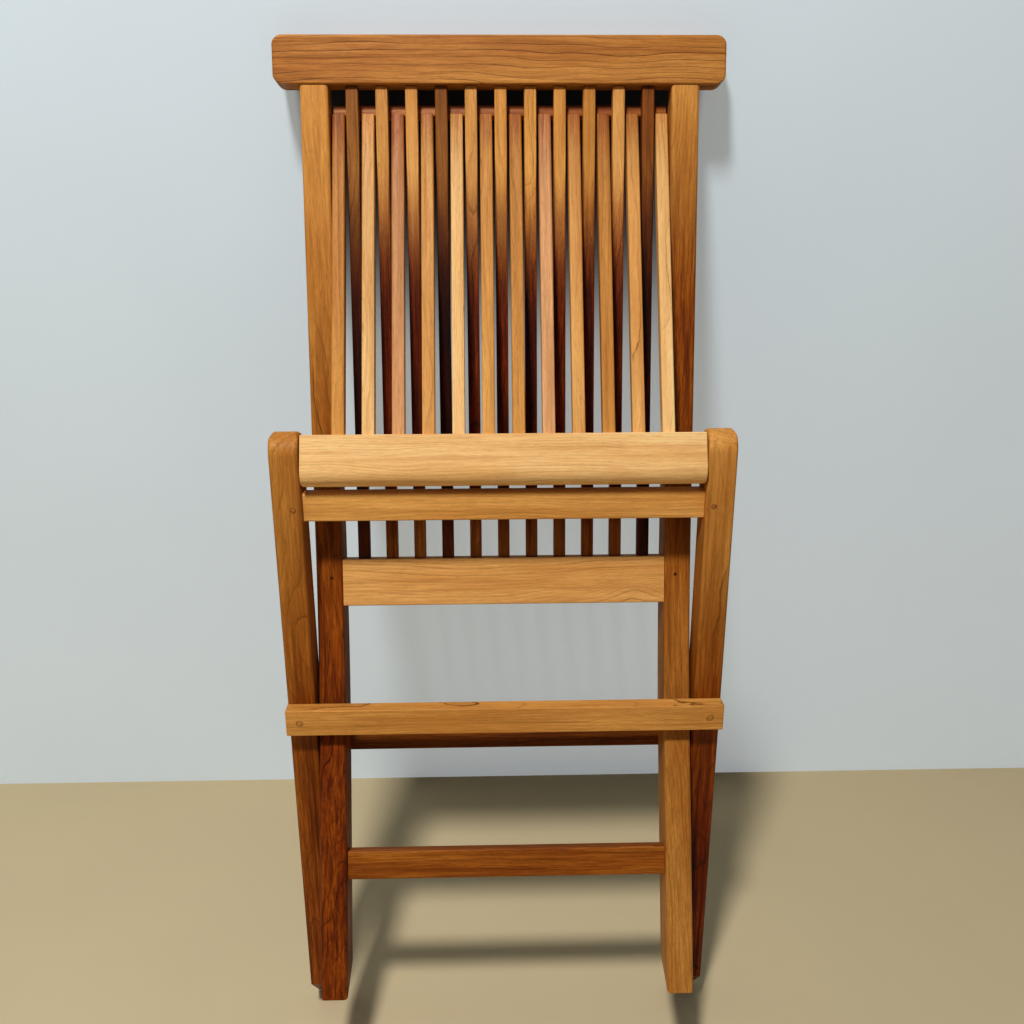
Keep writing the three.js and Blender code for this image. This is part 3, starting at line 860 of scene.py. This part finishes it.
# %% Pegs, bolts and their holes
bore_gap = 0.3 * mm
bore_overrun = 4 * mm
lower_rail_top = 469.8 * mm
lower_rail_height = 50 * mm
lower_rail_middle = lower_rail_top - lower_rail_height / 2
back_peg_radius = 1.5 * mm
back_peg_inset = 11.6 * mm
back_peg_rise = 5.5 * mm
back_peg_x = stile_inner + back_peg_inset
back_peg_along = lower_rail_middle + back_peg_rise
back_peg_length = 30 * mm
bolt_radius = 4 * mm
leg_bolt_grip = 20 * mm


def side_rod(x, place, along, start, end, radius):
    """A drill that goes into a frame from the front."""
    return rod(place(x, along, start), place(x, along, end), radius)


def cross_rod(pivot, start, end, radius):
    """A drill that goes across the chair."""
    return rod((start, *pivot), (end, *pivot), radius)


for label, side in sides:
    rods = [
        side_rod(side * back_peg_x, in_back, back_peg_along, -bore_overrun,
                 back_peg_length + bore_gap, back_peg_radius + bore_gap),
        cross_rod(fold_pivot, side * (stile_outer - leg_bolt_grip - bore_gap),
                  side * (stile_outer + bore_overrun), bolt_radius + bore_gap),
    ]
    node = f"stile_{label}"
    add_board(node, in_back, stile(side), True, *wood_of(node), rods)
print("stiles", round(stile_length / mm, 1), "mm long")

# %% [markdown]
# ## Slats and rails of the back
#
# The back slats are thin strips with barely eased edges, bent like the stiles. They
# come from many boards, so each has its own place in a log and its own tone. Where
# the folded seat stands in front of them they are in its shade, and their finish paints
# that shade into their colour. A fixed list also paints more shade over their lower
# half. The wide rail below carries them. It is straight, and square to the stile at its middle.

# %% Back slats
slat_pitch = 29.6 * mm
back_slat_wide = 12.2 * mm
slat_edge = 1.2 * mm
slat_end = 0.4 * mm
back_slats = sorted(node for node in slots if node.startswith("back_slat"))
back_slat_depths = (0.99, 0.93, 0.78, 1.04, 0.8, 0.73, 0.76, 0.73, 0.95, 0.84, 1.24)
# Painted shade along each back slat: deeper from the foot to the middle, for the folded seat's shadow, and
# slightly lighter above.
back_slat_painted_shade = np.array([0.5, 0.45, 0.5, 0.85, -0.2, -0.05, 0])
heart_spans = ((-1.5, 1.5), (0.05, 0.12), (0, 4))
look_spans = ((0.4, 1.0), (2.2, 4.2))


def strip_look(depth):
    """How deep a strip's colour is, how strong its lines are, and its ring spacing."""
    lines, spacing = (log_random.uniform(*span) for span in look_spans)
    return depth, lines, spacing * mm


def strip_heart():
    """A heart anywhere behind the strip or beside it, 50 to 120 mm off, in 4 m of log."""
    turn, far, along = (log_random.uniform(*span) for span in heart_spans)
    return heart_near(turn, far, along)


def slat_places(count):
    return (np.arange(count) - (count - 1) / 2) * slat_pitch


for node, x, depth in zip(back_slats, slat_places(len(back_slats)), back_slat_depths):
    surface = board_surface(
        (lower_rail_top + glue_gap, stile_length - glue_gap),
        (x - back_slat_wide / 2, slat_setback),
        (x + back_slat_wide / 2, slat_setback + slat_deep),
        slat_edge, slat_end, slat_end,
        [bends[-1], *steps_between(bends[-1], stile_length)],
    )
    look = strip_look(depth + back_slat_painted_shade)
    slat = add_board(node, in_back, surface, True, strip_heart(), look)
    # The back slats take the teak with painted shade.
    slat.data.materials[0] = painted_shade_teak[slots[node]]
print(len(back_slats), "back slats")

# %% Rails of the back frame
lower_rail_thick = 18 * mm
lower_rail_setback = 1 * mm
stretcher_foot = 125.2 * mm
stretcher_height = 30.1 * mm
stretcher_thick = 16 * mm
stretcher_setback = 8 * mm
brace_drop = 13.4 * mm
brace_height = 34 * mm
brace_thick = 16 * mm
brace_inset = 9 * mm
lower_rail_knot = (0, -9 * mm, 135 * mm)


def in_lower_rail(x, along, deep):
    """Square to the stile at the rail's middle."""
    rake = leg_rake - (lower_rail_middle - lower_length) / bend_length * bend_turn
    middle = back_point(lower_rail_middle, 0.0)
    return with_x(x, straight_point(middle, rake, along - lower_rail_middle, deep))


lower_rail_foot = lower_rail_top - lower_rail_height
brace_foot = pivot_to_toe - brace_drop
brace_front = stile_depth + glue_gap
add_rail("lower_back_rail", in_lower_rail, stile_inner, (lower_rail_foot, lower_rail_height),
         (lower_rail_setback, lower_rail_thick), knot=lower_rail_knot)
add_rail("front_stretcher", in_stile_foot, stile_inner, (stretcher_foot, stretcher_height),
         (stretcher_setback, stretcher_thick))
add_rail("rear_brace", in_stile_foot, stile_outer - brace_inset, (brace_foot, brace_height),
         (brace_front, brace_thick))
print("back frame:", sum(body_of[node] == "back_frame" for _, node in made), "boards")

# %% [markdown]
# ## The legs and their rails
#
# The legs are straight and cross the stiles on the outside. Their tops are rounded by
# hand. Each has a counterbored hole for a bolt at both pivots, a round peg at the top
# rail and a plug where the front rail is let on.

# %% Legs
leg_edge = 3.5 * mm
leg_top_rise = 18.1 * mm
leg_top_flat = 0.4 * mm
leg_top_side = 6 * mm
leg_top_reach = seat_pivot_reach + leg_top_rise
bolt_head_radius = 8 * mm
bolt_head_thick = 3 * mm
bolt_head_sunk = 0.5 * mm
seat_bolt_grip = 22 * mm

front_rail_gap = 1.9 * mm
front_rail_height = 29.5 * mm
front_rail_thick = 16.5 * mm
crossing = leg_rake - leg_frame_rake
front_rail_foot = (
    stile_pivot_depth / cos(crossing) - leg_pivot_depth - glue_gap + front_rail_gap
) * cos(crossing) / sin(crossing)
front_rail_face = -glue_gap - front_rail_thick
front_rail_middle = front_rail_foot + front_rail_height / 2

seat_nose = 37 * mm
seat_rail_high = 18 * mm
seat_rail_low = -11.5 * mm
top_rail_gap = 3.8 * mm
top_rail_height = 29 * mm
top_rail_thick = 16 * mm
top_rail_setback = 8 * mm
seat_to_leg = seat_rake - leg_frame_rake
nose_drop = seat_nose * cos(seat_to_leg) - seat_rail_low * sin(seat_to_leg)
top_rail_foot = seat_pivot_reach - nose_drop - top_rail_gap - top_rail_height
top_rail_middle = top_rail_foot + top_rail_height / 2

plug_radius = 3.5 * mm
plug_length = 32 * mm
leg_peg_radius = 2.5 * mm
leg_peg_inset = 8 * mm
leg_peg_x = leg_inner + leg_peg_inset
leg_peg_length = 26 * mm


def leg(side):
    """A straight board with a sloping sole and a half-round top, eased at its sides."""
    low_x, high_x = sorted((side * leg_inner, side * leg_outer))
    slope = slope_on(leg_frame_rake, turned_open.T @ open_floor)
    foot = -rear_toe_drop - leg_depth * slope
    half_round = (leg_depth / 2, leg_depth / 2 - leg_top_flat)
    surface = board_surface(
        (foot, leg_top_reach),
        (low_x, 0),
        (high_x, leg_depth),
        leg_edge, sole_edge,
        ((leg_top_side, leg_top_side), half_round),
        [foot + sole_fade, *steps_between(foot + sole_fade, leg_top_reach - leg_depth / 2)],
    )
    return slant(surface, slope)


def head_recess(pivot, side):
    """A hole through the leg, and a wider one that takes the bolt's head."""
    outside = side * (leg_outer + bore_overrun)
    inside = side * (leg_inner - bore_overrun)
    under_head = side * (leg_outer - bolt_head_thick - bolt_head_sunk - glue_gap)
    return [
        cross_rod(pivot, inside, outside, bolt_radius + bore_gap),
        cross_rod(pivot, under_head, outside, bolt_head_radius + bore_gap),
    ]


for label, side in sides:
    rods = head_recess(fold_pivot, side) + head_recess(seat_pivot, side)
    rods.append(side_rod(side * leg_peg_x, in_legs, top_rail_middle, -bore_overrun,
                         leg_peg_length + bore_gap, leg_peg_radius + bore_gap))
    rods.append(side_rod(side * leg_middle, in_legs, front_rail_middle, -bore_overrun,
                         front_rail_face + plug_length + bore_gap, plug_radius + bore_gap))
    node = f"leg_{label}"
    add_board(node, in_legs, leg(side), True, *wood_of(node), rods)
print("legs", round((leg_top_reach + rear_toe_drop) / mm, 1), "mm long at the back")

# %% Rails of the leg frame
front_rail_corner = 4 * mm
front_rail_knot = (0, -8 * mm, 132 * mm)
add_rail("leg_top_rail", in_legs, leg_inner, (top_rail_foot, top_rail_height),
         (top_rail_setback, top_rail_thick))
plug_rods = [
    side_rod(side * leg_middle, in_legs, front_rail_middle, front_rail_face - bore_overrun,
             bore_overrun, plug_radius + bore_gap)
    for _, side in sides
]
front_rail_edges = (rail_edge, slat_edge, slat_edge, front_rail_corner)
add_rail("leg_front_rail", in_legs, leg_outer, (front_rail_foot, front_rail_height),
         (front_rail_face, front_rail_thick), front_rail_edges, slat_edge, plug_rods, front_rail_knot)
print("leg frame:", sum(body_of[node] == "leg_frame" for _, node in made), "boards")

# %% [markdown]
# ## The seat
#
# The seat's front rail is the wide board with a rounded nose that the knees rest on.
# Twelve slats run back from it, between the slats of the back, to a thin rail behind
# them. Folded up, all of it lies almost in the plane of the back.

# %% Seat front rail
seat_rail_back = 12 * mm
nose_radius = 14 * mm
nose_under = 8 * mm
seat_rods = [
    cross_rod(seat_pivot, side * (seat_rail_half - seat_bolt_grip - bore_gap),
              side * (seat_rail_half + bore_overrun), bolt_radius + bore_gap)
    for _, side in sides
]
seat_rail_edges = (nose_radius, rail_edge, rail_edge, nose_under)
add_rail("seat_front_rail", in_seat, seat_rail_half, (-seat_nose, seat_nose + seat_rail_back),
         (-seat_rail_high, seat_rail_high - seat_rail_low), seat_rail_edges, slat_edge, seat_rods)
print("seat front rail", round(2 * seat_rail_half / mm, 1), "mm long")

# %% Seat slats and rear rail
slat_side_gap = 2.4 * mm
seat_slat_wide = slat_pitch - back_slat_wide - 2 * slat_side_gap
seat_slat_high = 13 * mm
seat_slat_low = -1 * mm
seat_slat_edge = 1.8 * mm
rear_rail_wide = 12 * mm
rear_rail_low = -4 * mm
rear_rail_high = 7 * mm
rear_rail_gap = 2 * mm
seat_slats = sorted(node for node in slots if node.startswith("seat_slat"))
seat_slat_depths = (0.88, 0.95, 1.0, 0.81, 0.83, 0.77, 0.86, 0.84, 0.8, 0.85, 0.75, 0.83)
# Painted shade along each seat slat: deeper towards the rear end, under the crest's shadow, and a little lighter
# towards the front.
seat_slat_painted_shade = np.array([-0.12, -0.09, -0.05, -0.02, 0, 0.04, 0.12, 0.45])

for node, x, depth in zip(seat_slats, slat_places(len(seat_slats)), seat_slat_depths):
    surface = board_surface(
        (seat_rail_back + glue_gap, seat_length - rear_rail_wide / 2 - glue_gap),
        (x - seat_slat_wide / 2, -seat_slat_high),
        (x + seat_slat_wide / 2, -seat_slat_low),
        seat_slat_edge, slat_end, slat_end,
        steps_between(seat_rail_back, seat_length - rear_rail_wide / 2),
    )
    add_board(node, in_seat, surface, True, strip_heart(), strip_look(depth + seat_slat_painted_shade))

add_rail("seat_rear_rail", in_seat, stile_inner - rear_rail_gap,
         (seat_length - rear_rail_wide / 2, rear_rail_wide),
         (-rear_rail_high, rear_rail_high - rear_rail_low))
print(len(seat_slats), "seat slats")

# %% [markdown]
# ## Pegs, plugs and bolts
#
# A peg is cut off and sanded nearly flush, so its face is end grain with a thin dark
# ring of glue and dust round it. It could be painted on, but a turned piece in a real
# hole catches the light and shows from the side as well.

# %% Pegs and plugs
peg_sunk = 0.2 * mm
peg_ease = 0.4 * mm
peg_dome = 0.06 * mm
face_rings = 3


def peg_profile(radius, length):
    """From the middle of the face, over its eased rim, to the buried end."""
    centre = radius / turned_sides
    return [(centre, 0), (radius / 2, -peg_dome / 3), (radius - peg_ease, -peg_dome),
            (radius, -peg_ease), (radius, -length), (centre, -length)]


def add_peg(node, place, x, along, face, radius, length, look):
    """The rings past the face are dark, for the dust that settles round the peg."""
    start, inside = place(x, along, face), place(x, along, face + length)
    grid = turned_surface(peg_profile(radius, length), start, start - inside)
    obj = bpy.data.objects.new(node + "_turned", mesh_of(node + "_turned", grid))
    bpy.context.scene.collection.objects.link(obj)
    points = points_of(obj.data)
    axis = unit(start - inside)
    places = log_places(points, axis, unit(np.cross(axis, (1.0, 0, 0))), strip_heart())
    rim = (np.arange(len(points)) // turned_sides >= face_rings).astype(float)
    give_places(obj, places, look, no_knot, np.stack([0 * rim, 0 * rim, 0.8 * rim], axis=-1))
    return finish_piece(obj, node)


for label, side in sides:
    add_peg(f"back_peg_{label}", in_back, side * back_peg_x, back_peg_along,
            peg_sunk, back_peg_radius, back_peg_length - peg_sunk, look_of["back_peg"])
    add_peg(f"leg_peg_{label}", in_legs, side * leg_peg_x, top_rail_middle,
            peg_sunk, leg_peg_radius, leg_peg_length - peg_sunk, look_of["leg_peg"])
    add_peg(f"rail_plug_{label}", in_legs, side * leg_middle, front_rail_middle,
            front_rail_face + peg_sunk, plug_radius, plug_length - peg_sunk, look_of["rail_plug"])
print("pegs", round(2 * back_peg_radius / mm, 1), "and", round(2 * leg_peg_radius / mm, 1), "mm wide")

# %% Bolts with a six-sided socket
socket_half = 2.5 * mm
socket_deep = 1.9 * mm
socket_lip = 0.3 * mm
bolt_centre = 0.2 * mm
dome_drop = 1.9 * mm
dome_shares = np.linspace(0.5, 1, 6)


def bolt_profile(grip):
    """From the floor of the socket, up and over the domed head, to the shank's end.
    The dome drops with the fifth power of the distance from the middle."""
    shank = bolt_head_thick + grip
    lip = dome_drop * dome_shares[0] ** 5
    dome = [(share * bolt_head_radius, -dome_drop * share ** 5) for share in dome_shares]
    return [
        (bolt_centre, -socket_deep), (socket_half, -socket_deep), (socket_half, -socket_lip - lip),
        (socket_half + socket_lip, -lip), *dome,
        (bolt_head_radius, -bolt_head_thick), (bolt_radius, -bolt_head_thick),
        (bolt_radius, -shank), (bolt_centre, -shank),
    ]


def add_bolt(node, pivot, side, end):
    """A bolt from a recess in the leg's outer face to an end inside the chair."""
    face = leg_outer - bolt_head_sunk
    profile = bolt_profile(face - bolt_head_thick - end)
    grid = turned_surface(profile, (side * face, *pivot), (side, 0, 0), (slice(1, 3), socket_half))
    obj = bpy.data.objects.new(node + "_turned", mesh_of(node + "_turned", grid))
    bpy.context.scene.collection.objects.link(obj)
    return finish_piece(obj, node)


for label, side in sides:
    for name, pivot, bolt_end in (
        ("fold", fold_pivot, stile_outer - leg_bolt_grip),
        ("seat", seat_pivot, seat_rail_half - seat_bolt_grip),
    ):
        add_bolt(f"{name}_bolt_{label}", pivot, side, bolt_end)
        for slot in frame["nodes"][f"{name}_washer_{label}"].material_slots:
            slot.material = materials["steel"]
print(len(made), "new pieces")

# %% How far the pieces stray from the CAD
def stray_of(obj, node):
    """The furthest that a side of a piece's box is from the same side of its CAD box."""
    points = points_of(obj.data)
    box = np.array([points.min(axis=0), points.max(axis=0)])
    solid_box = np.array([list(corner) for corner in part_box(node)])
    return float(abs(box - solid_box).max())


strays = sorted(((stray_of(obj, node), node) for obj, node in made), reverse=True)
for stray, node in strays[:5]:
    print(node, "is up to", round(stray / mm, 2), "mm from its CAD box")

# %% [markdown]
# ## Floor and backdrop
#
# The chair leans back, so a backdrop stands close behind its crest. It slopes away
# towards the floor, because the legs swing back when the chair opens. Both are plain.
# Close behind the slats, where hardly any light reaches a real wall, the backdrop is
# deeper. It lets a camera behind it look through, so that the back can be seen.

# %% Backdrop and floor
backdrop_half = 3.0
backdrop_top = 1.9
backdrop_slope = 0.245
crest_back = back_point(stile_length + crest_height, crest_thick - crest_proud)
backdrop_gap = 4 * mm
shade_reach = 200 * mm
shade_half = 190 * mm
shade_fade = 25 * mm
shade_foot, shade_top = 0.7, 0.95
shade_power = 4.0
glow_foot, glow_top = 0.1, 1.1
wall_color, floor_color = linear(200, 219, 233), linear(216, 197, 158)
matt = 0.9


def sheet_of(name, corners, material):
    """A single flat face."""
    mesh = bpy.data.meshes.new(name)
    mesh.from_pydata(corners, [], [list(range(len(corners)))])
    mesh.materials.append(material)
    obj = bpy.data.objects.new(name, mesh)
    bpy.context.scene.collection.objects.link(obj)
    return obj


def backdrop_y(z):
    return crest_back[0] + backdrop_gap + (crest_back[1] - z) * backdrop_slope


def mottled(recipe, color):
    """A very faint mottle."""
    place = recipe.add("ShaderNodeTexCoord").outputs["Object"]
    mottle = recipe.noise(place, (3, 3, 3), 3.0)[0]
    return recipe.blend(recipe.ramp(mottle, 0.3, 0.7, 0.0, 0.5), color, darker(color, 0.93))


def shade_behind(recipe):
    """How bright the backdrop is close behind the slats, where hardly any light comes:
    the open share of the view from it, to a power that grows from the seat up to the
    crest. Above the crest and beyond the stiles it is 1."""
    x, _, height = recipe.parts(recipe.add("ShaderNodeTexCoord").outputs["Object"])
    between = recipe.ramp(recipe.math("ABSOLUTE", x), shade_half, shade_half + shade_fade, 1.0, 0.0)
    crest_foot = crest_back[1] - crest_height
    below = recipe.ramp(height, crest_foot, crest_back[1], shade_power, 0.0)
    power = recipe.math("MULTIPLY", recipe.ramp(height, shade_foot, shade_top), below)
    power = recipe.math("MULTIPLY", power, between)
    open_share = recipe.add("ShaderNodeAmbientOcclusion", {"Distance": shade_reach}).outputs["AO"]
    return recipe.math("POWER", open_share, power)


def glow_in_front(recipe, shade, at_floor, at_top):
    """From the front the backdrop glows a little, for the camera only, so that it stays
    even from top to bottom though the lamp hangs high."""
    height = recipe.parts(recipe.add("ShaderNodeTexCoord").outputs["Object"])[2]
    level = recipe.ramp(height, glow_foot, glow_top, at_floor, at_top)
    seen = recipe.add("ShaderNodeLightPath").outputs["Is Camera Ray"]
    strength = recipe.math("MULTIPLY", recipe.math("MULTIPLY", level, seen), shade)
    recipe.put(recipe.shader.inputs["Emission Strength"], strength)
    recipe.shader.inputs["Emission Color"].default_value = linear(247, 251, 255)


def clear_from_behind(recipe):
    """A camera behind the backdrop looks through it."""
    behind = recipe.add("ShaderNodeNewGeometry").outputs["Backfacing"]
    clear = recipe.add("ShaderNodeBsdfTransparent").outputs[0]
    either = recipe.add("ShaderNodeMixShader", {0: behind, 1: recipe.shader.outputs[0], 2: clear})
    recipe.tree.links.new(either.outputs[0], recipe.tree.nodes["Material Output"].inputs["Surface"])


wall = Recipe("backdrop")
shade = shade_behind(wall)
wall.finish(wall.vector("MULTIPLY", mottled(wall, wall_color), shade), matt)
glow_in_front(wall, shade, 0.25, 0.225)
clear_from_behind(wall)
floor = Recipe("floor")
floor.finish(mottled(floor, floor_color), matt)
foot_y, top_y = backdrop_y(0), backdrop_y(backdrop_top)
sheet_of("backdrop", [
    (-backdrop_half, foot_y, 0), (backdrop_half, foot_y, 0),
    (backdrop_half, top_y, backdrop_top), (-backdrop_half, top_y, backdrop_top),
], wall.material)
sheet_of("floor", [
    (-backdrop_half, -backdrop_half, 0), (backdrop_half, -backdrop_half, 0),
    (backdrop_half, backdrop_half, 0), (-backdrop_half, backdrop_half, 0),
], floor.material)
print("the backdrop leans from", round(foot_y, 3), "to", round(top_y, 3), "m behind the chair's origin")

# %% [markdown]
# ## Light
#
# One soft lamp hangs above and in front, a little to the left, so the seat shades the
# stiles below it and the crest throws a shadow on the backdrop. The world fills the
# rest with a cool, even light. The levels are set so that a face turned to the lamp
# shows its colour about as written.

# %% Lamp and world
lamp_watts = 62.0
lamp_wide = 0.31
lamp_far = 2.6
lamp_aim = np.array([0.0, 0.0, 0.65])
lamp_elevation = radians(57)
lamp_turn = radians(-17)
lamp_color = (1.0, 0.97, 0.93)
world_color = (0.95, 0.97, 1.0, 1.0)
world_strength = 0.12

lamp_way = np.array([
    sin(lamp_turn) * cos(lamp_elevation),
    -cos(lamp_turn) * cos(lamp_elevation),
    sin(lamp_elevation),
])
lamp_data = bpy.data.lights.new("lamp", "AREA")
lamp_data.shape = "DISK"
lamp_data.size = lamp_wide
lamp_data.energy = lamp_watts
lamp_data.color = lamp_color
lamp = bpy.data.objects.new("lamp", lamp_data)
lamp.location = lamp_aim + lamp_far * lamp_way
lamp.rotation_euler = (pi / 2 - lamp_elevation, 0, -lamp_turn)
bpy.context.scene.collection.objects.link(lamp)

world = bpy.data.worlds.new("world")
world.use_nodes = True
background = world.node_tree.nodes["Background"]
light_path = world.node_tree.nodes.new("ShaderNodeLightPath")
shown = world.node_tree.nodes.new("ShaderNodeBackground")
shown.inputs[0].default_value = linear(206, 213, 217)
shown.inputs[1].default_value = 1.0
background.inputs[0].default_value = world_color
background.inputs[1].default_value = world_strength
pick = world.node_tree.nodes.new("ShaderNodeMixShader")
world.node_tree.links.new(light_path.outputs["Is Camera Ray"], pick.inputs[0])
world.node_tree.links.new(background.outputs[0], pick.inputs[1])
world.node_tree.links.new(shown.outputs[0], pick.inputs[2])
world.node_tree.links.new(pick.outputs[0], world.node_tree.nodes["World Output"].inputs[0])
bpy.context.scene.world = world
bpy.context.scene.view_settings.view_transform = "Standard"
print("lamp", round(lamp_far, 1), "m away, at", lamp_watts, "W")
